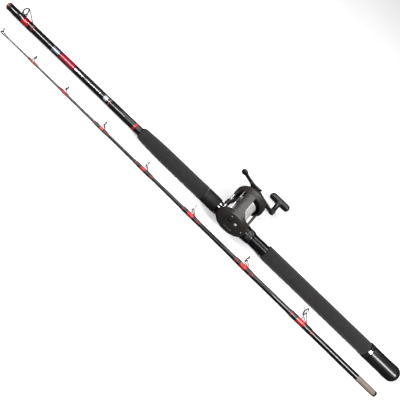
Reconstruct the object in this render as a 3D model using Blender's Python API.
"""Two-piece boat fishing rod with a level-wind multiplier reel, laid out taken down. Metres, +Z up.

X runs along the rod towards its butt, Y towards the angler's right hand, and Z up through the reel.
The origin is on the axis of the butt section, below the spool's axis. The tip section lies beside it.
"""
import math

import bpy
import bmesh
from mathutils import Vector

# ---- clearances ----
GAP = 0.0003            # between pieces that are fixed to each other
RUN = 0.0004            # round a turning or sliding piece
FERRULE_FIT = 0.0001    # spigot in its socket

# ---- butt section of the rod ----
MOUTH_R = 0.0073        # blank at the ferrule mouth
BLANK_R = 0.0078        # blank under the grips
BLANK_WALL = 0.0018
SOCKET_DEPTH = 0.050
FERRULE_FLOOR = 0.003
SPIGOT_R = 0.0060
SPIGOT_L = 0.0478
OPEN_BLANK_L = 0.3527   # from the foregrip to the mouth
FOREGRIP_L = 0.1679
FOREGRIP_TIP_R = 0.0126
FOREGRIP_R = 0.0151
FOREGRIP_TAPER = 0.074
FIXED_HOOD_L = 0.0335
SEAT_R = 0.01225
HOOD_WALL = 0.00075
SLIDING_HOOD_L = 0.0212
HOOD_END_WALL = 0.0030
NUT_WALL = 0.00215       # lock nut over the seat's barrel
NUT_L = 0.0155
THREAD_L = 0.0355
EDGE = 0.0012           # bevels on moulded ends
REAR_GRIP_R = 0.01535
REAR_GRIP_L = 0.2690
COLLAR_R = 0.0168
COLLAR_L = 0.0060
GIMBAL_R = 0.0125
GIMBAL_L = 0.0470
GIMBAL_WALL = 0.0040
GIMBAL_SLOT_W = 0.0062
GIMBAL_SLOT_DEPTH = 0.0120
CAP_R = 0.0168
CAP_LIP_R = 0.0163
CAP_LIP_L = 0.0530
CAP_HEEL = 0.0263       # rubber past the end of the fitting
CAP_DOME_L = 0.0140
BLANK_PAST_COLLAR = 0.008
CAP_LIP_GAP = 0.001

# ---- tip section ----
TIP_AXIS = (0.0, -0.0513, -0.00875)
TIP_YAW = -0.0068
TIP_START_X = -0.5565
TIP_END_X = 0.3725
TIP_R = 0.0012
TIP_FULL_X = 0.290      # the taper ends here
TIP_BUTT_R = 0.0058
TIP_WALL = 0.0011
TIP_BORE_X = -0.300
PLUG_L = 0.036

# ---- line guides: place, ring height over the blank's axis, ring radius, wrap ahead and behind ----
TIP_GUIDES = (
    (-0.4793, 0.0119, 0.0038, 0.0080, 0.0164),
    (-0.3958, 0.0119, 0.0041, 0.0090, 0.0153),
    (-0.2976, 0.0139, 0.0047, 0.0163, 0.0221),
    (-0.1868, 0.0153, 0.0052, 0.0175, 0.0274),
    (-0.0656, 0.0173, 0.0068, 0.0169, 0.0280),
    (0.0746, 0.0180, 0.0073, 0.0203, 0.0265),
    (0.2244, 0.0251, 0.0081, 0.0268, 0.0313),
)
BUTT_GUIDE_BACK = 0.0437    # from the mouth to the ring of the guide on the butt section
BUTT_GUIDE = (0.0255, 0.0089, 0.0170, 0.0243)
RING_WALL = 0.0009
RING_HALF = 0.0009
STRAP_T = 0.0009
STRAP_W = 0.0018
BUTT_STRAP_W = 0.0030
WRAP_T = 0.0008
WRAP_EDGE = 0.0020
TIP_TOP_L = 0.0100
TIP_TOP_RING = 0.0044
TIP_TOP_LEAN = math.radians(32.0)

# ---- reel ----
FOOT_T = 0.0015
FOOT_PAD = 0.0012
FOOT_POCKET = 0.0155
FOOT_HALF_ANGLE = math.radians(33.0)
BRIDGE_T = 0.0030
BRIDGE_INSET = 0.0170   # from the rim of a side plate to the end of the bridge
FLANGE_CLEAR = 0.00165
FLANGE_INSET = 0.0062   # from the rim of a side plate to the rim of a flange
FLANGE_T = 0.0020
LINE_DEPTH = 0.0073     # from the rim of a flange to the barrel
PLATE_R = 0.0320
PLATE_T = 0.0035
PLATE_HOLE_R = 0.0120
HALF_GAP = 0.0244       # from the middle of the spool to a side plate
REEL_Y = -0.0031        # the spool's middle sits this far beside the rod's axis
SPOOL_PLAY = 0.0012
SHAFT_R = 0.0021
JOURNAL_R = 0.0014
BEARING_R = 0.0045
BEARING_L = 0.0030
BEARING_FLOOR = 0.0045  # from a cover's face to the floor of its bearing pocket
BEARING_WALL = 0.0020
COVER_WALL = 0.0018
LEFT_RIM = 0.0062
LEFT_DOME = 0.0055
RIGHT_RIM = 0.0062
RIGHT_DOME = 0.0090
FRONT_SHOW = 0.0039     # reel foot that shows ahead of the plates
REAR_SHOW = 0.0072
MODULE = 0.00062
PINION_TEETH = 10
GEAR_TEETH = 40
GEAR_T = 0.0026
GEAR_SET_IN = 0.0035    # from the side plate's cover joint to the gear
PINION_LEAD = 0.0004
GEAR_TIP = 0.60         # addendum of the main gear, in modules
GEAR_ROOM = 0.001928    # from the gear's teeth to the cover's wall
WASHER_R = 0.0090
WASHER_T = 0.0010
PINION_T = 0.0032
PINION_NECK_R = 0.0024
PINION_NECK_L = 0.0020
DRIVE_X = -0.0030
DRIVE_R = 0.0035
BOSS_R = 0.0070
BOSS_L = 0.0040
STAR_R = 0.0210
STAR_HUB_R = 0.0065
STAR_HUB_L = 0.0212
STAR_POINTS = 5
STAR_WHEEL = (0.0155, 0.0185)   # the wheel's faces, from the hub's end
STAR_ROOT = 0.0015
ARM_T = 0.0030
CRANK_R = 0.0580
HANDLE_GAP = 0.0010     # between boss, star and arm
KNOB_GAP = 0.0005
CRANK_DROP = math.radians(21.0)
ARM_HUB_R = 0.0080
ARM_END_R = 0.0056
WEIGHT_REACH = 0.0430
WEIGHT_R = 0.0065
NUT_HEIGHT = 0.0044
NUT_CORNER_R = 0.0062
NUT_ROOF = 0.0014
KNOB_PIN_R = 0.0021
KNOB_STEM_R = 0.0056
KNOB_STEM_L = 0.0260
KNOB_BAR = (0.048, 0.012, 0.015)
KNOB_CORNER = 0.0045
STUD_HEAD_R = 0.0040
STUD_HEAD_L = 0.0012
THUMB_FRONT = 121.0     # degrees round the spool axis from +X
THUMB_REAR = ((-1.0, 66.0), (-0.78, 76.0), (-0.41, 83.0), (0.56, 86.0), (1.0, 84.0))  # place across, degrees
THUMB_INSET = 0.0004
PILLAR_R = 0.0024
GUIDE_BAR_R = 0.0016
WORM_R = 0.0026
BAR_JOURNAL_R = 0.0011
WORM_JOURNAL_R = 0.0015
CARRIAGE_HALF = 0.0055
CARRIAGE_T = 0.0032
WORM_EYE_WALL = 0.0022
BAR_EYE_WALL = 0.0019
LINE_SLOT_HALF = 0.0026
LINE_SLOT = (0.30, 0.80)    # ends of the slot, as shares of the way from worm to bar
TENSION_R = 0.0080
TENSION_L = 0.0052
BUTTON_R = 0.0022
BUTTON_HEAD_R = 0.0035
BUTTON_PROUD = 0.0016
BUTTON_HEAD_L = 0.0018
BUTTON_STEM_L = 0.0056
LEVER_T = 0.0026
LEVER_L = 0.0140
LEVER_HUB_R = 0.0042
LEVER_TIP_R = 0.0028
LEVER_PIN_R = 0.0020
LEVER_PIN_L = 0.0070
LEVER_ANGLE = math.radians(130.0)
YOKE_T = 0.0010
YOKE_HALF = 0.0080
YOKE_SPAN = (-0.0040, 0.0100)

# ---- places along the rod, each from its neighbour ----
FIXED_END_X = -(PLATE_R + FRONT_SHOW)
FIXED_START_X = FIXED_END_X - FIXED_HOOD_L
FOREGRIP_END_X = FIXED_START_X - GAP
FOREGRIP_START_X = FOREGRIP_END_X - FOREGRIP_L
MOUTH_X = FOREGRIP_START_X - OPEN_BLANK_L
SLIDE_END_X = PLATE_R + REAR_SHOW
NUT_START_X = SLIDE_END_X + GAP
SEAT_END_X = NUT_START_X + NUT_L + THREAD_L
GRIP_START_X = SEAT_END_X + GAP
GRIP_END_X = GRIP_START_X + REAR_GRIP_L
COLLAR_START_X = GRIP_END_X + GAP
COLLAR_END_X = COLLAR_START_X + COLLAR_L
GIMBAL_END_X = COLLAR_END_X + GIMBAL_L
CAP_START_X = COLLAR_END_X + CAP_LIP_GAP
CAP_CAVITY_X = GIMBAL_END_X + GAP
CAP_END_X = CAP_CAVITY_X + CAP_HEEL
BLANK_END_X = COLLAR_END_X + BLANK_PAST_COLLAR

# ---- heights and places of the reel ----
NUT_R = SEAT_R + NUT_WALL
FLANGE_R = PLATE_R - FLANGE_INSET
SPOOL_R = FLANGE_R - LINE_DEPTH
BRIDGE_HALF = PLATE_R - BRIDGE_INSET
PILLAR_RING = FLANGE_R + WORM_R + GAP   # the pillars and bars stand on this radius
FOOT_IN_R = SEAT_R + GAP
FOOT_OUT_R = FOOT_IN_R + FOOT_T
FOOT_TOP = FOOT_OUT_R + FOOT_PAD
POCKET_R = FOOT_OUT_R + GAP
HOOD_R = POCKET_R + HOOD_WALL
FOOT_FRONT_X = FIXED_END_X - FOOT_POCKET
FOOT_REAR_X = SLIDE_END_X - HOOD_END_WALL
SPOOL_Z = FOOT_TOP + GAP + BRIDGE_T + FLANGE_CLEAR + FLANGE_R
PLATE_OUT = HALF_GAP + PLATE_T
COVER_IN = PLATE_OUT + GAP
SPOOL_HALF = HALF_GAP - SPOOL_PLAY
PINION_R = MODULE * PINION_TEETH / 2
GEAR_R = MODULE * GEAR_TEETH / 2
CENTRES = PINION_R + GEAR_R
DRIVE_DOWN = math.sqrt(CENTRES ** 2 - DRIVE_X ** 2)
COVER_R = CENTRES + GEAR_R + GEAR_TIP * MODULE + GEAR_ROOM + COVER_WALL
RIGHT_FACE = COVER_IN + RIGHT_RIM + RIGHT_DOME
LEFT_FACE = COVER_IN + LEFT_RIM + LEFT_DOME
GEAR_Y = COVER_IN + GEAR_SET_IN
PINION_Y = GEAR_Y - PINION_LEAD
NECK_Y = PINION_Y + PINION_T
BEARING_Y = RIGHT_FACE - BEARING_FLOOR + GAP
BOSS_Y = RIGHT_FACE + BOSS_L
STAR_Y = BOSS_Y + HANDLE_GAP
ARM_Y = STAR_Y + STAR_HUB_L + HANDLE_GAP
KNOB_Y = ARM_Y + ARM_T + KNOB_GAP
BAR_ANGLE = math.radians(133.0)
WORM_ANGLE = math.radians(192.0)
PILLAR_ANGLE = math.radians(-20.0)
LEVER_SPOT = (-0.0130, 0.0150)
BUTTON_SPOT = (-0.0067, 0.0190)

SIDES = 20
ROUND = 32
LOOKS = {
    "gloss_black": ((0.012, 0.012, 0.014), 0.18, 0.0),
    "foam": ((0.026, 0.024, 0.024), 0.85, 0.0),
    "graphite": ((0.03, 0.032, 0.038), 0.35, 0.0),
    "rubber": ((0.02, 0.02, 0.021), 0.4, 0.0),
    "chrome": ((0.72, 0.72, 0.74), 0.12, 1.0),
    "ceramic": ((0.04, 0.04, 0.045), 0.2, 0.0),
    "thread": ((0.72, 0.012, 0.016), 0.35, 0.0),
    "ground_blank": ((0.30, 0.26, 0.22), 0.6, 0.0),
    "aluminium": ((0.62, 0.62, 0.63), 0.3, 1.0),
    "side_plate": ((0.075, 0.070, 0.067), 0.4, 0.0),
    "steel": ((0.55, 0.55, 0.57), 0.25, 1.0),
    "brass": ((0.62, 0.45, 0.18), 0.3, 1.0),
    "fibre": ((0.09, 0.08, 0.07), 0.7, 0.0),
}
AXES = {"X": Vector((1, 0, 0)), "Y": Vector((0, 1, 0)), "Z": Vector((0, 0, 1))}


def clear_scene():
    for old in list(bpy.data.objects):
        bpy.data.objects.remove(old, do_unlink=True)


def material(look):
    made = bpy.data.materials.get(look)
    if made is None:
        colour, roughness, metallic = LOOKS[look]
        made = bpy.data.materials.new(look)
        made.use_nodes = True
        shader = made.node_tree.nodes["Principled BSDF"]
        shader.inputs["Base Color"].default_value = (*colour, 1.0)
        shader.inputs["Roughness"].default_value = roughness
        shader.inputs["Metallic"].default_value = metallic
    return made


def pivot(name, place, turn=(0.0, 0.0, 0.0), parent=None):
    empty = bpy.data.objects.new(name, None)
    bpy.context.scene.collection.objects.link(empty)
    empty.location = place
    empty.rotation_euler = turn
    empty.parent = parent
    return empty


def finish(name, bm, look, parent, place=(0.0, 0.0, 0.0), turn=(0.0, 0.0, 0.0)):
    """Turn a bmesh into a named, shaded object under its parent."""
    bmesh.ops.remove_doubles(bm, verts=bm.verts[:], dist=1e-6)
    bmesh.ops.recalc_face_normals(bm, faces=bm.faces[:])
    mesh = bpy.data.meshes.new(name)
    bm.to_mesh(mesh)
    bm.free()
    mesh.shade_smooth()
    mesh.set_sharp_from_angle(angle=math.radians(35.0))
    body = bpy.data.objects.new(name, mesh)
    bpy.context.scene.collection.objects.link(body)
    body.parent = parent
    body.location = place
    body.rotation_euler = turn
    if look is not None:
        mesh.materials.append(material(look))
    return body


def turned(name, look, profile, axis, parent, sides=SIDES, place=(0.0, 0.0, 0.0), turn=(0.0, 0.0, 0.0)):
    """A lathe shape: the profile's (along, radius) points, spun right round the axis.

    A profile that starts on the axis ends on it too; any other profile closes into a ring."""
    bm = bmesh.new()
    along = AXES[axis]
    out = AXES["X"] if axis == "Z" else AXES["Z"]
    verts = [bm.verts.new(along * a + out * r) for a, r in profile]
    edges = [bm.edges.new(pair) for pair in zip(verts, verts[1:])]
    if profile[0][1] > 0.0:
        edges.append(bm.edges.new((verts[-1], verts[0])))
    bmesh.ops.spin(bm, geom=verts + edges, cent=(0, 0, 0), axis=along, dvec=(0, 0, 0),
                   angle=2 * math.pi, steps=sides, use_merge=True)
    return finish(name, bm, look, parent, place, turn)


def prism(name, look, outline, axis, low, high, parent, place=(0.0, 0.0, 0.0), turn=(0.0, 0.0, 0.0)):
    """A flat outline in the plane across the axis, extruded from low to high."""
    bm = bmesh.new()
    spot = {"X": lambda u, v: (low, u, v), "Y": lambda u, v: (u, low, v), "Z": lambda u, v: (u, v, low)}[axis]
    face = bm.faces.new([bm.verts.new(spot(u, v)) for u, v in outline])
    raised = bmesh.ops.extrude_face_region(bm, geom=[face])
    tops = [item for item in raised["geom"] if isinstance(item, bmesh.types.BMVert)]
    bmesh.ops.translate(bm, verts=tops, vec=AXES[axis] * (high - low))
    return finish(name, bm, look, parent, place, turn)


def sleeve(name, look, low, high, inner, outer, half_slot, parent, place, turn):
    """A tube along X that is open along its top, where a guide's foot lies."""
    bm = bmesh.new()
    corners = ((low, inner), (high, inner), (high, outer), (low, outer))
    start = [Vector((x, r * math.sin(half_slot), r * math.cos(half_slot))) for x, r in corners]
    face = bm.faces.new([bm.verts.new(point) for point in start])
    bmesh.ops.spin(bm, geom=[face] + face.edges[:] + face.verts[:], cent=(0, 0, 0), axis=(-1, 0, 0),
                   dvec=(0, 0, 0), angle=2 * (math.pi - half_slot), steps=SIDES - 4, use_merge=False)
    return finish(name, bm, look, parent, place, turn)


def change(target, tool, operation):
    """Cut the tool out of the target, or unite it with the target."""
    step = target.modifiers.new(tool.name, "BOOLEAN")
    step.object = tool
    step.operation = operation
    step.solver = "EXACT"
    tool.hide_render = True
    tool.display_type = "WIRE"


def circle(radius, count, centre=(0.0, 0.0), start=0.0):
    return [(centre[0] + radius * math.cos(start + 2 * math.pi * i / count),
             centre[1] + radius * math.sin(start + 2 * math.pi * i / count)) for i in range(count)]


def arc(radius, centre, first, last, count):
    return [(centre[0] + radius * math.cos(first + (last - first) * i / count),
             centre[1] + radius * math.sin(first + (last - first) * i / count)) for i in range(count + 1)]


def box(name, look, low, high, parent):
    outline = ((low[0], low[1]), (high[0], low[1]), (high[0], high[1]), (low[0], high[1]))
    return prism(name, look, outline, "Z", low[2], high[2], parent)


def strap_outline(path, thickness):
    """The outline of a bent strip of one thickness that follows an open path."""
    half = thickness / 2
    upper = []
    lower = []
    for i, point in enumerate(path):
        here = Vector(point)
        back = (here - Vector(path[i - 1])).normalized() if i else None
        ahead = (Vector(path[i + 1]) - here).normalized() if i + 1 < len(path) else None
        run = ((back or ahead) + (ahead or back)).normalized()
        side = Vector((-run.y, run.x))
        reach = half / max(0.3, run.dot(ahead or back))
        upper.append(here + side * reach)
        lower.append(here - side * reach)
    return [tuple(point) for point in upper + lower[::-1]]


def line_guide_set(tag, blank_r, size, strap_w, parent, place, turn):
    """A guide: its strap feet and ring seat in one frame, its ring and the wrap over its feet."""
    height, ring_r, ahead, behind = size
    under = blank_r + GAP
    foot_z = under + STRAP_T / 2
    path = ((-ahead + WRAP_EDGE, foot_z), (-ahead * 0.30, foot_z), (0.0, height - ring_r + STRAP_T / 2),
            (behind * 0.38, foot_z), (behind - WRAP_EDGE, foot_z))
    frame = prism(f"{tag}_frame", "chrome", strap_outline(path, STRAP_T), "Y",
                  -strap_w / 2, strap_w / 2, parent, place, turn)
    seat_in = ring_r - RING_WALL
    centre = Vector((0.0, 0.0, height))
    centre.rotate(frame.rotation_euler)
    ring_place = Vector(place) + centre
    seat = turned(f"{tag}_seat", None, ((-RING_HALF, seat_in), (-RING_HALF, ring_r),
                                        (RING_HALF, ring_r), (RING_HALF, seat_in)),
                  "X", parent, 16, ring_place, turn)
    change(frame, seat, "UNION")
    lined = seat_in - GAP
    bore = lined - RING_WALL
    turned(f"{tag}_ring", "ceramic", ((-RING_HALF * 0.8, bore), (-RING_HALF * 0.8, lined),
                                      (RING_HALF * 0.8, lined), (RING_HALF * 0.8, bore)),
           "X", parent, 16, ring_place, turn)
    half_slot = math.asin((strap_w / 2 + GAP) / under)
    sleeve(f"{tag}_wrap", "thread", -ahead, behind, under, under + WRAP_T, half_slot, parent, place, turn)


def tip_radius(x):
    share = (x - TIP_START_X) / (TIP_FULL_X - TIP_START_X)
    return TIP_R + (TIP_BUTT_R - TIP_R) * min(1.0, share)


def gear_outline(teeth, addendum, dedendum, centre, tooth_at, steps):
    """Involute teeth round a centre, with the middle of one tooth at the angle tooth_at."""
    pressure = math.radians(20.0)
    backlash = 0.00012
    pitch = MODULE * teeth / 2
    base = pitch * math.cos(pressure)
    root = pitch - dedendum * MODULE
    tip = pitch + addendum * MODULE
    half = math.pi / (2 * teeth) - backlash / pitch + math.tan(pressure) - pressure
    first = max(root, base)
    flank = []
    if root < base:
        flank.append((root, half))
    for i in range(steps + 1):
        radius = first + (tip - first) * i / steps
        slope = math.acos(min(1.0, base / radius))
        flank.append((radius, half - (math.tan(slope) - slope)))
    points = []
    for tooth in range(teeth):
        middle = tooth_at + 2 * math.pi * tooth / teeth
        for radius, offset in flank:
            points.append((radius, middle - offset))
        for radius, offset in reversed(flank):
            points.append((radius, middle + offset))
    return [(centre[0] + r * math.cos(a), centre[1] + r * math.sin(a)) for r, a in points]


def build_butt_section(rod):
    """Blank, grips, reel seat, hoods, lock nut, gimbal fitting and butt cap."""
    ferrule_end = MOUTH_X + SOCKET_DEPTH + FERRULE_FLOOR
    joint_r = blank_radius(ferrule_end)
    socket_r = SPIGOT_R + FERRULE_FIT
    bore = BLANK_R - BLANK_WALL
    start = ferrule_end + GAP
    socket_floor = MOUTH_X + SOCKET_DEPTH
    turned("ferrule", "gloss_black", (
        (socket_floor, 0.0), (socket_floor, socket_r), (MOUTH_X, socket_r), (MOUTH_X, MOUTH_R),
        (ferrule_end, joint_r), (ferrule_end, 0.0)), "X", rod)
    turned("butt_blank", "gloss_black", (
        (start, bore - 0.0006), (start, blank_radius(start)), (FOREGRIP_START_X, BLANK_R), (BLANK_END_X, BLANK_R),
        (BLANK_END_X, bore)), "X", rod)
    over_blank = BLANK_R + GAP
    grip = [(FOREGRIP_START_X, over_blank), (FOREGRIP_START_X, FOREGRIP_TIP_R - 0.0008)]
    for i in range(6):
        share = i / 5
        grip.append((FOREGRIP_START_X + 0.001 + FOREGRIP_TAPER * share,
                     FOREGRIP_TIP_R + (FOREGRIP_R - FOREGRIP_TIP_R) * math.sin(share * math.pi / 2)))
    grip += [(FOREGRIP_END_X, FOREGRIP_R), (FOREGRIP_END_X, over_blank)]
    turned("foregrip", "foam", grip, "X", rod)
    seat = turned("reel_seat", "graphite", (
        (FIXED_START_X, over_blank), (FIXED_START_X, HOOD_R), (FIXED_END_X, HOOD_R), (FIXED_END_X, SEAT_R),
        (SEAT_END_X, SEAT_R), (SEAT_END_X, over_blank)), "X", rod, 24)
    change(seat, foot_pocket("fixed_pocket", FOOT_FRONT_X - GAP, FIXED_END_X + EDGE, rod), "DIFFERENCE")
    over_seat = SEAT_R + RUN
    start = SLIDE_END_X - SLIDING_HOOD_L
    hood = turned("sliding_hood", "graphite", (
        (start, over_seat), (start, HOOD_R), (SLIDE_END_X - EDGE, HOOD_R), (SLIDE_END_X, HOOD_R - EDGE),
        (SLIDE_END_X, over_seat)), "X", rod, 24)
    change(hood, foot_pocket("sliding_pocket", start - EDGE, FOOT_REAR_X + GAP, rod), "DIFFERENCE")
    nut_end = NUT_START_X + NUT_L
    turned("lock_nut", "graphite", (
        (NUT_START_X, over_seat), (NUT_START_X, NUT_R), (nut_end - 2 * EDGE, NUT_R), (nut_end, NUT_R - EDGE),
        (nut_end, over_seat)), "X", rod)
    turned("rear_grip", "foam", (
        (GRIP_START_X, over_blank), (GRIP_START_X, REAR_GRIP_R - EDGE / 2), (GRIP_START_X + EDGE, REAR_GRIP_R),
        (GRIP_END_X - 2 * EDGE, REAR_GRIP_R), (GRIP_END_X, REAR_GRIP_R - EDGE), (GRIP_END_X, over_blank)), "X", rod)
    build_butt_fitting(rod, over_blank)


def foot_pocket(name, low, high, rod):
    """The room for one end of the reel foot under a hood: a stretch of ring over the seat's barrel."""
    half = FOOT_HALF_ANGLE + math.asin(GAP / FOOT_IN_R)
    up = math.pi / 2
    outline = arc(POCKET_R, (0.0, 0.0), up - half, up + half, 6)
    outline += arc(SEAT_R + GAP / 2, (0.0, 0.0), up + half, up - half, 6)
    return prism(name, None, outline, "X", low, high, rod)


def build_butt_fitting(rod, over_blank):
    """The slotted gimbal fitting on the blank's end, and the rubber cap pushed over it."""
    inner = GIMBAL_R - GIMBAL_WALL
    shoulder = BLANK_END_X + GAP
    fitting = turned("gimbal_fitting", "aluminium", (
        (COLLAR_START_X, over_blank), (COLLAR_START_X, COLLAR_R - 0.0008), (COLLAR_START_X + 0.001, COLLAR_R),
        (COLLAR_END_X - 0.001, COLLAR_R), (COLLAR_END_X, COLLAR_R - 0.001), (COLLAR_END_X, GIMBAL_R),
        (GIMBAL_END_X, GIMBAL_R), (GIMBAL_END_X, inner), (shoulder, inner), (shoulder, over_blank)), "X", rod)
    half = GIMBAL_SLOT_W / 2
    reach = GIMBAL_R + 0.002
    for name, wide, tall in (("flat_slot", reach, half), ("upright_slot", half, reach)):
        slot = box(name, None, (GIMBAL_END_X - GIMBAL_SLOT_DEPTH, -wide, -tall),
                   (GIMBAL_END_X + 0.002, wide, tall), rod)
        change(fitting, slot, "DIFFERENCE")
    cavity = GIMBAL_R + GAP
    dome_x = CAP_END_X - CAP_DOME_L
    profile = [(CAP_START_X, cavity), (CAP_START_X, CAP_LIP_R), (CAP_START_X + CAP_LIP_L, CAP_LIP_R),
               (CAP_START_X + CAP_LIP_L + 0.004, CAP_R), (dome_x, CAP_R)]
    for i in range(1, 5):
        turn = math.pi / 2 * i / 5
        profile.append((dome_x + CAP_DOME_L * math.sin(turn), CAP_R * math.cos(turn)))
    profile.append((CAP_END_X, 0.0))
    closed = [(CAP_CAVITY_X, 0.0), (CAP_CAVITY_X, cavity)] + profile
    turned("butt_cap", "rubber", closed, "X", rod, 24)


def blank_radius(x):
    """The butt blank's outer radius ahead of the foregrip."""
    return MOUTH_R + (BLANK_R - MOUTH_R) * (x - MOUTH_X) / OPEN_BLANK_L


def build_butt_guide(rod):
    x = MOUTH_X + BUTT_GUIDE_BACK
    under = blank_radius(x + BUTT_GUIDE[3])
    line_guide_set("butt_guide", under, BUTT_GUIDE, BUTT_STRAP_W, rod, (x, 0.0, 0.0), (0.0, 0.0, 0.0))


def build_tip_section(tip):
    """Tapered blank, ground spigot, seven guides and the tip top."""
    bore_r = TIP_BUTT_R - TIP_WALL
    plug_x = TIP_END_X - PLUG_L
    turned("tip_blank", "gloss_black", (
        (TIP_START_X, 0.0), (TIP_START_X, TIP_R), (TIP_FULL_X, TIP_BUTT_R), (TIP_END_X, TIP_BUTT_R),
        (TIP_END_X, bore_r), (plug_x - GAP, bore_r), (plug_x - GAP, bore_r - 0.0005),
        (TIP_BORE_X, tip_radius(TIP_BORE_X) - TIP_WALL), (TIP_BORE_X, 0.0)), "X", tip)
    start = TIP_END_X + GAP
    end = start + SPIGOT_L
    turned("spigot", "ground_blank", (
        (plug_x, 0.0), (plug_x, bore_r - GAP), (start, bore_r - GAP), (start, SPIGOT_R - 0.0001),
        (end - 0.003, SPIGOT_R), (end, SPIGOT_R - 0.0006), (end, 0.0)), "X", tip)
    sideways = (-math.pi / 2, 0.0, 0.0)
    for number, (x, height, ring_r, ahead, behind) in enumerate(TIP_GUIDES, 1):
        line_guide_set(f"guide_{number}", tip_radius(x + behind), (height, ring_r, ahead, behind), STRAP_W,
                       tip, (x, 0.0, 0.0), sideways)
    inner = tip_radius(TIP_START_X + TIP_TOP_L) + GAP
    outer = inner + 0.0006
    crown = TIP_START_X - GAP
    top = turned("tip_top", "chrome", (
        (crown - 0.001, 0.0), (crown - 0.001, outer), (crown + TIP_TOP_L, outer), (crown + TIP_TOP_L, inner),
        (crown, inner), (crown, 0.0)), "X", tip, 12)
    seat = turned("tip_top_seat", None, (
        (-RING_HALF, TIP_TOP_RING - 2 * RING_WALL), (-RING_HALF, TIP_TOP_RING),
        (RING_HALF, TIP_TOP_RING), (RING_HALF, TIP_TOP_RING - 2 * RING_WALL)), "X", tip, 16,
        (crown - 0.0015, outer + TIP_TOP_RING * math.cos(TIP_TOP_LEAN) - 0.0002, 0.0),
        (0.0, 0.0, TIP_TOP_LEAN))
    change(top, seat, "UNION")


def build_reel_frame(reel):
    """Two side plates, the bridge over the foot and the rear pillar in one casting, with its foot."""
    sides = []
    for name, look, low, rim in (("reel_frame", "side_plate", -PLATE_OUT, PLATE_R),
                                 ("right_plate", None, HALF_GAP, COVER_R)):
        sides.append(turned(name, look, ((low, PLATE_HOLE_R), (low, rim), (low + PLATE_T, rim),
                                         (low + PLATE_T, PLATE_HOLE_R)), "Y", reel, ROUND))
    frame = sides[0]
    change(frame, sides[1], "UNION")
    into = HALF_GAP + PLATE_T / 2
    bottom = FOOT_TOP + GAP - SPOOL_Z
    bridge = box("bridge", None, (-BRIDGE_HALF, -into, bottom), (BRIDGE_HALF, into, bottom + BRIDGE_T), reel)
    change(frame, bridge, "UNION")
    pillar = prism("pillar", None, circle(PILLAR_R, 12, spot_on_ring(PILLAR_ANGLE)), "Y", -into, into, reel)
    change(frame, pillar, "UNION")
    past = PLATE_OUT + 0.002
    holes = (("guide_bar_hole", spot_on_ring(BAR_ANGLE), BAR_JOURNAL_R + GAP, -past),
             ("worm_hole", spot_on_ring(WORM_ANGLE), WORM_JOURNAL_R + RUN, -past),
             ("drive_hole", (DRIVE_X, -DRIVE_DOWN), DRIVE_R + RUN, HALF_GAP - 0.002))
    for name, spot, radius, low in holes:
        change(frame, prism(name, None, circle(radius, 12, spot), "Y", low, past, reel), "DIFFERENCE")


def spot_on_ring(angle):
    return (PILLAR_RING * math.cos(angle), PILLAR_RING * math.sin(angle))


def build_reel_foot(rod):
    up = math.pi / 2
    outline = arc(FOOT_OUT_R, (0.0, 0.0), up - FOOT_HALF_ANGLE, up + FOOT_HALF_ANGLE, 6)
    outline += arc(FOOT_IN_R, (0.0, 0.0), up + FOOT_HALF_ANGLE, up - FOOT_HALF_ANGLE, 6)
    foot = prism("reel_foot", "chrome", outline, "X", FOOT_FRONT_X, FOOT_REAR_X, rod)
    wide = FOOT_OUT_R * math.sin(FOOT_HALF_ANGLE)
    pad = box("foot_pad", None, (-BRIDGE_HALF, -wide, FOOT_OUT_R - 0.0012), (BRIDGE_HALF, wide, FOOT_TOP), rod)
    change(foot, pad, "UNION")


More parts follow.
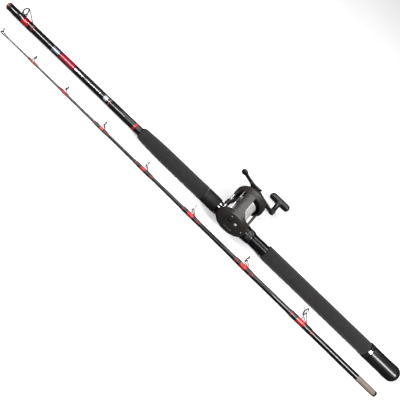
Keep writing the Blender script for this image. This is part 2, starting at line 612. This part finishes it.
def build_covers(reel):
    """The palmed left cover, the right cover over the gears, and the thumb rest."""
    def dome(radius, rise, edge):
        """How far a dome of this rise and edge radius has dropped from its crown at the radius."""
        ball = (edge ** 2 + rise ** 2) / (2 * rise)
        return ball - math.sqrt(ball ** 2 - radius ** 2)

    shares = (1.0, 0.86, 0.68, 0.45, 0.22)
    outer = [(-LEFT_FACE + dome(PLATE_R * s, LEFT_DOME, PLATE_R), PLATE_R * s) for s in shares]
    within = PLATE_R - COVER_WALL
    inner = [(-LEFT_FACE + COVER_WALL + dome(within * s, LEFT_DOME, within), within * s) for s in shares]
    pocket = BEARING_R + GAP
    boss = pocket + BEARING_WALL
    floor = -LEFT_FACE + BEARING_FLOOR
    inner[-1] = (inner[-1][0], boss)
    profile = [(floor, 0.0), (floor, pocket), (-COVER_IN - BEARING_WALL, pocket), (-COVER_IN - BEARING_WALL, boss)]
    profile += inner[::-1] + [(-COVER_IN, within), (-COVER_IN, PLATE_R)] + outer + [(-LEFT_FACE, 0.0)]
    left = turned("left_cover", "side_plate", profile, "Y", reel, ROUND)
    change(left, prism("button_hole", None, circle(BUTTON_R + RUN, 12, BUTTON_SPOT), "Y",
                       -LEFT_FACE - 0.002, -COVER_IN, reel), "DIFFERENCE")
    rim = COVER_IN + RIGHT_RIM
    crown = ((0.0, 1.0), (0.42, 0.94), (0.74, 0.81), (0.94, 0.62), (1.0, 0.44))
    outside = [(rim + RIGHT_DOME * rise, COVER_R * wide) for rise, wide in crown]
    inside = [(y - COVER_WALL, r - COVER_WALL) for y, r in outside]
    profile = [(COVER_IN, COVER_R - COVER_WALL), (COVER_IN, COVER_R)] + outside
    profile += [(RIGHT_FACE, pocket), (BEARING_Y, pocket), (BEARING_Y, boss), (RIGHT_FACE - COVER_WALL, boss)]
    profile += inside[::-1]
    right = turned("right_cover", "side_plate", profile, "Y", reel, ROUND)
    drive = (DRIVE_X, -DRIVE_DOWN)
    change(right, prism("drive_boss", None, circle(BOSS_R, 20, drive), "Y", RIGHT_FACE - 0.004, BOSS_Y, reel),
           "UNION")
    change(right, prism("drive_bore", None, circle(DRIVE_R + RUN, 16, drive), "Y", RIGHT_FACE - 0.006,
                        BOSS_Y + 0.002, reel), "DIFFERENCE")
    change(right, prism("lever_bore", None, circle(LEVER_PIN_R + RUN, 12, LEVER_SPOT), "Y", RIGHT_FACE - 0.008,
                        BOSS_Y, reel), "DIFFERENCE")
    build_thumb_rest(reel)


def build_thumb_rest(reel):
    """A curved cover over the top of the spool, wider at its left end where it flares into the plate."""
    low_r = PILLAR_RING - THUMB_INSET
    high_r = PLATE_R - THUMB_INSET
    end = HALF_GAP - GAP
    last = math.radians(THUMB_FRONT)
    bm = bmesh.new()
    loops = []
    for share, rear in THUMB_REAR:
        y = end * share
        first = math.radians(rear)
        ring = arc(high_r, (0.0, 0.0), first, last, 6) + arc(low_r, (0.0, 0.0), last, first, 6)
        verts = [bm.verts.new((x, y, z)) for x, z in ring]
        loops.append([bm.edges.new(pair) for pair in zip(verts, verts[1:] + verts[:1])])
    for near, far in zip(loops, loops[1:]):
        bmesh.ops.bridge_loops(bm, edges=near + far)
    for loop in (loops[0], loops[-1]):
        bmesh.ops.contextual_create(bm, geom=loop)
    finish("thumb_rest", bm, "side_plate", reel)


def build_spool(reel):
    """Spool, its shaft and two bearings, and the pinion that drives it."""
    core = SHAFT_R + GAP
    edge = SPOOL_HALF - FLANGE_T
    turned("spool", "aluminium", (
        (-SPOOL_HALF, core), (-SPOOL_HALF, FLANGE_R), (-edge, FLANGE_R), (-edge, SPOOL_R + 0.001),
        (-edge + 0.001, SPOOL_R), (edge - 0.001, SPOOL_R), (edge, SPOOL_R + 0.001), (edge, FLANGE_R),
        (SPOOL_HALF, FLANGE_R), (SPOOL_HALF, core)), "Y", reel, ROUND)
    left_end = -LEFT_FACE + BEARING_FLOOR + RUN
    turned("spool_shaft", "steel", (
        (left_end, 0.0), (left_end, JOURNAL_R), (-SPOOL_HALF - 0.0015, JOURNAL_R),
        (-SPOOL_HALF - 0.0015, SHAFT_R), (SPOOL_HALF + 0.002, SHAFT_R), (SPOOL_HALF + 0.002, JOURNAL_R),
        (RIGHT_FACE - 0.0005, JOURNAL_R), (RIGHT_FACE - 0.0005, 0.0)), "Y", reel, 12)
    left_seat = -LEFT_FACE + BEARING_FLOOR + 2 * GAP
    for name, low in (("bearing_left", left_seat), ("bearing_right", BEARING_Y + GAP)):
        turned(name, "steel", ((low, JOURNAL_R + GAP), (low, BEARING_R), (low + BEARING_L, BEARING_R),
                               (low + BEARING_L, JOURNAL_R + GAP)), "Y", reel, 16)
    toward = math.atan2(-DRIVE_DOWN, DRIVE_X)
    outline = gear_outline(PINION_TEETH, 0.85, 1.15, (0.0, 0.0), toward + math.pi / PINION_TEETH, 2)
    pinion = prism("pinion", "brass", outline, "Y", PINION_Y, NECK_Y, reel)
    neck_end = NECK_Y + PINION_NECK_L
    overlap = 0.0010
    neck = turned("pinion_neck", None, (
        (NECK_Y - overlap, 0.0), (NECK_Y - overlap, PINION_NECK_R - 0.0002), (neck_end, PINION_NECK_R - 0.0002),
        (neck_end, PINION_R + 0.0003), (neck_end + 0.0008, PINION_R + 0.0003), (neck_end + 0.0008, 0.0)),
        "Y", reel, 16)
    change(pinion, neck, "UNION")
    bore = prism("pinion_bore", None, circle(JOURNAL_R + GAP, 12), "Y", PINION_Y - 0.001, neck_end + 0.002, reel)
    change(pinion, bore, "DIFFERENCE")


def build_drive(reel, drive):
    """Main gear, drag washer, drive shaft and star drag, all round the drive axis."""
    back = math.atan2(DRIVE_DOWN, -DRIVE_X)
    outline = gear_outline(GEAR_TEETH, GEAR_TIP, 1.20, (0.0, 0.0), back, 1)
    gear = prism("main_gear", "brass", outline, "Y", GEAR_Y, GEAR_Y + GEAR_T, drive)
    past = 0.001
    change(gear, prism("gear_bore", None, circle(DRIVE_R + GAP, 16), "Y", GEAR_Y - past,
                       GEAR_Y + GEAR_T + past, drive), "DIFFERENCE")
    washer = GEAR_Y + GEAR_T + GAP
    turned("drag_washer", "fibre", ((washer, DRIVE_R + GAP), (washer, WASHER_R), (washer + WASHER_T, WASHER_R),
                                    (washer + WASHER_T, DRIVE_R + GAP)), "Y", drive)
    top = ARM_Y + ARM_T + NUT_HEIGHT - NUT_ROOF - 0.0002
    inner_end = HALF_GAP + 0.0009
    turned("drive_shaft", "steel", ((inner_end, 0.0), (inner_end, DRIVE_R), (top, DRIVE_R), (top, 0.0)),
           "Y", drive, 16)
    star = turned("star_drag", "graphite", (
        (STAR_Y, DRIVE_R + RUN), (STAR_Y, STAR_HUB_R), (STAR_Y + STAR_HUB_L, STAR_HUB_R),
        (STAR_Y + STAR_HUB_L, DRIVE_R + RUN)), "Y", drive)
    spokes = []
    count = 10 * STAR_POINTS
    for i in range(count):
        angle = 2 * math.pi * i / count
        swell = max(0.0, math.cos(STAR_POINTS * angle)) ** 0.7
        root = STAR_HUB_R + STAR_ROOT
        radius = root + (STAR_R - root) * swell
        spokes.append((radius * math.cos(angle), radius * math.sin(angle)))
    low, high = (STAR_Y + face for face in STAR_WHEEL)
    wheel = prism("star_wheel", None, spokes, "Y", low, high, drive)
    change(star, wheel, "UNION")
    change(star, prism("star_bore", None, circle(DRIVE_R + RUN, 20), "Y", low - 0.0005, high + 0.0005, drive), "DIFFERENCE")


def build_handle(handle, knob):
    """Arm with its counterweight and riveted stud, handle nut, and the T-shaped knob on the stud."""
    outline = arc(ARM_END_R, (CRANK_R, 0.0), -math.pi / 2, math.pi / 2, 8)
    outline += [(0.014, ARM_HUB_R * 0.72)] + arc(ARM_HUB_R, (0.0, 0.0), math.radians(60), math.radians(120), 3)
    outline += [(-0.014, ARM_HUB_R * 0.62)]
    outline += arc(WEIGHT_R * 0.8, (-WEIGHT_REACH, 0.0), math.pi / 2, 3 * math.pi / 2, 8)
    outline += [(-0.014, -ARM_HUB_R * 0.62)]
    outline += arc(ARM_HUB_R, (0.0, 0.0), math.radians(240), math.radians(300), 3)
    outline += [(0.014, -ARM_HUB_R * 0.72)]
    arm = prism("handle_arm", "graphite", outline, "Y", ARM_Y, ARM_Y + ARM_T, handle)
    weight = prism("weight", None, circle(WEIGHT_R, 16, (-WEIGHT_REACH, 0.0)), "Y", ARM_Y - 0.0015,
                   ARM_Y + ARM_T + 0.0015, handle)
    change(arm, weight, "UNION")
    change(arm, prism("shaft_hole", None, circle(DRIVE_R + GAP, 16), "Y", ARM_Y - 0.002, ARM_Y + ARM_T + 0.002,
                      handle), "DIFFERENCE")
    low = ARM_Y + ARM_T + GAP
    nut = prism("handle_nut", "chrome", circle(NUT_CORNER_R, 6), "Y", low, low + NUT_HEIGHT, handle)
    change(nut, prism("nut_bore", None, circle(DRIVE_R + GAP, 16), "Y", low - 0.001,
                      low + NUT_HEIGHT - NUT_ROOF, handle), "DIFFERENCE")
    bar_y = KNOB_Y + KNOB_STEM_L
    pin_top = bar_y + KNOB_BAR[1] / 2
    change(arm, turned("knob_stud", None, (
        (ARM_Y - STUD_HEAD_L, 0.0), (ARM_Y - STUD_HEAD_L, STUD_HEAD_R), (ARM_Y + 0.0005, STUD_HEAD_R),
        (ARM_Y + 0.0005, KNOB_PIN_R),
        (pin_top, KNOB_PIN_R), (pin_top, 0.0)), "Y", knob, 12), "UNION")
    stem = turned("knob", "graphite", (
        (KNOB_Y, 0.0), (KNOB_Y, KNOB_STEM_R + 0.0006), (KNOB_Y + 0.004, KNOB_STEM_R),
        (bar_y + 0.003, KNOB_STEM_R), (bar_y + 0.003, 0.0)), "Y", knob)
    long, thick, wide = KNOB_BAR
    ends = []
    for sx, sz, first in ((1, 1, 0), (-1, 1, 90), (-1, -1, 180), (1, -1, 270)):
        spot = (sx * (long / 2 - KNOB_CORNER), sz * (wide / 2 - KNOB_CORNER))
        ends += arc(KNOB_CORNER, spot, math.radians(first), math.radians(first + 90), 3)
    grip = prism("knob_bar", None, ends, "Y", bar_y, bar_y + thick, knob)
    rounding = grip.modifiers.new("rounding", "BEVEL")
    rounding.width = 0.002
    rounding.segments = 1
    rounding.angle_limit = math.radians(50.0)
    rounding.limit_method = "ANGLE"
    change(stem, grip, "UNION")
    change(stem, prism("knob_bore", None, circle(KNOB_PIN_R + RUN, 12), "Y", KNOB_Y - 0.001, pin_top + 0.0008, knob),
           "DIFFERENCE")


def build_level_wind(reel):
    """Guide bar, worm shaft and the line guide that travels on them."""
    end = PLATE_OUT - GAP
    inside = HALF_GAP - GAP
    for name, look, spot, radius, journal in (
            ("guide_bar", "chrome", spot_on_ring(BAR_ANGLE), GUIDE_BAR_R, BAR_JOURNAL_R),
            ("worm_shaft", "steel", spot_on_ring(WORM_ANGLE), WORM_R, WORM_JOURNAL_R)):
        turned(name, look, ((-end, 0.0), (-end, journal), (-inside, journal), (-inside, radius),
                            (inside, radius), (inside, journal), (end, journal), (end, 0.0)),
               "Y", reel, 12, (spot[0], 0.0, spot[1]))
    bar = Vector(spot_on_ring(BAR_ANGLE))
    worm = Vector(spot_on_ring(WORM_ANGLE))
    run = (bar - worm).normalized()
    side = Vector((-run.y, run.x))
    half = CARRIAGE_HALF

    def rectangle(first, last, thick):
        corners = ((first, -thick / 2), (last, -thick / 2), (last, thick / 2), (first, thick / 2))
        return [tuple(worm + (bar - worm) * along + side * across) for along, across in corners]

    plate = rectangle(0.0, 1.0, CARRIAGE_T)
    guide = prism("line_guide", "graphite", plate, "Y", -half, half, reel)
    for name, spot, radius, wide in (("worm_eye", worm, WORM_R + WORM_EYE_WALL, half),
                                     ("bar_eye", bar, GUIDE_BAR_R + BAR_EYE_WALL, half)):
        change(guide, prism(name, None, circle(radius, 14, spot), "Y", -wide - 0.0001, wide + 0.0001, reel), "UNION")
    for name, spot, radius in (("worm_bore", worm, WORM_R + RUN), ("bar_bore", bar, GUIDE_BAR_R + RUN)):
        change(guide, prism(name, None, circle(radius, 14, spot), "Y", -half - 0.002, half + 0.002, reel),
               "DIFFERENCE")
    slot = rectangle(*LINE_SLOT, 4 * CARRIAGE_T)
    change(guide, prism("line_slot", None, slot, "Y", -LINE_SLOT_HALF, LINE_SLOT_HALF, reel), "DIFFERENCE")


def build_controls(reel):
    """Clutch lever and yoke, click button and spool tension cap."""
    lever_y = RIGHT_FACE + GAP
    run = LEVER_ANGLE
    tip = (LEVER_SPOT[0] + LEVER_L * math.cos(run), LEVER_SPOT[1] + LEVER_L * math.sin(run))
    outline = arc(LEVER_HUB_R, LEVER_SPOT, run + math.pi / 2, run + 3 * math.pi / 2, 6)
    outline += arc(LEVER_TIP_R, tip, run - math.pi / 2, run + math.pi / 2, 6)
    lever = prism("clutch_lever", "graphite", outline, "Y", lever_y, lever_y + LEVER_T, reel)
    change(lever, prism("lever_pin", None, circle(LEVER_PIN_R, 12, LEVER_SPOT), "Y", lever_y - LEVER_PIN_L,
                        lever_y + 0.001, reel), "UNION")
    neck = PINION_NECK_R + RUN
    low, high = YOKE_SPAN
    yoke = [(-YOKE_HALF, low), (-neck, low)] + arc(neck, (0.0, 0.0), math.pi, 0.0, 8)
    yoke += [(neck, low), (YOKE_HALF, low), (YOKE_HALF, high), (-YOKE_HALF, high)]
    prism("clutch_yoke", "steel", yoke, "Y", NECK_Y + RUN, NECK_Y + RUN + YOKE_T, reel)
    radius = math.hypot(*BUTTON_SPOT)
    ball = (PLATE_R ** 2 + LEFT_DOME ** 2) / (2 * LEFT_DOME)
    nearest = radius - BUTTON_HEAD_R
    under = -LEFT_FACE + ball - math.sqrt(ball ** 2 - nearest ** 2) - BUTTON_PROUD
    top = under - BUTTON_HEAD_L
    end = under + BUTTON_STEM_L
    turned("click_button", "steel", (
        (top, 0.0), (top, BUTTON_HEAD_R - EDGE / 2), (top + EDGE / 2, BUTTON_HEAD_R), (under, BUTTON_HEAD_R),
        (under, BUTTON_R), (end, BUTTON_R), (end, 0.0)),
        "Y", reel, 12, (BUTTON_SPOT[0], 0.0, BUTTON_SPOT[1]))
    cap = RIGHT_FACE + GAP
    turned("tension_cap", "graphite", (
        (cap, 0.0), (cap, TENSION_R), (cap + TENSION_L - 0.001, TENSION_R), (cap + TENSION_L, TENSION_R - 0.001),
        (cap + TENSION_L, 0.0)), "Y", reel)


def main():
    clear_scene()
    rod = pivot("rod_axis", (0.0, 0.0, 0.0))
    tip = pivot("tip_axis", TIP_AXIS, (0.0, 0.0, TIP_YAW))
    reel = pivot("spool_axis", (0.0, REEL_Y, SPOOL_Z), parent=rod)
    drive = pivot("drive_axis", (DRIVE_X, 0.0, -DRIVE_DOWN), parent=reel)
    handle = pivot("handle_axis", (0.0, 0.0, 0.0), (0.0, CRANK_DROP, 0.0), drive)
    knob = pivot("knob_axis", (CRANK_R, 0.0, 0.0), (0.0, -CRANK_DROP, 0.0), handle)
    build_butt_section(rod)
    build_butt_guide(rod)
    build_tip_section(tip)
    build_reel_frame(reel)
    build_reel_foot(rod)
    build_covers(reel)
    build_spool(reel)
    build_drive(reel, drive)
    build_handle(handle, knob)
    build_level_wind(reel)
    build_controls(reel)


main()
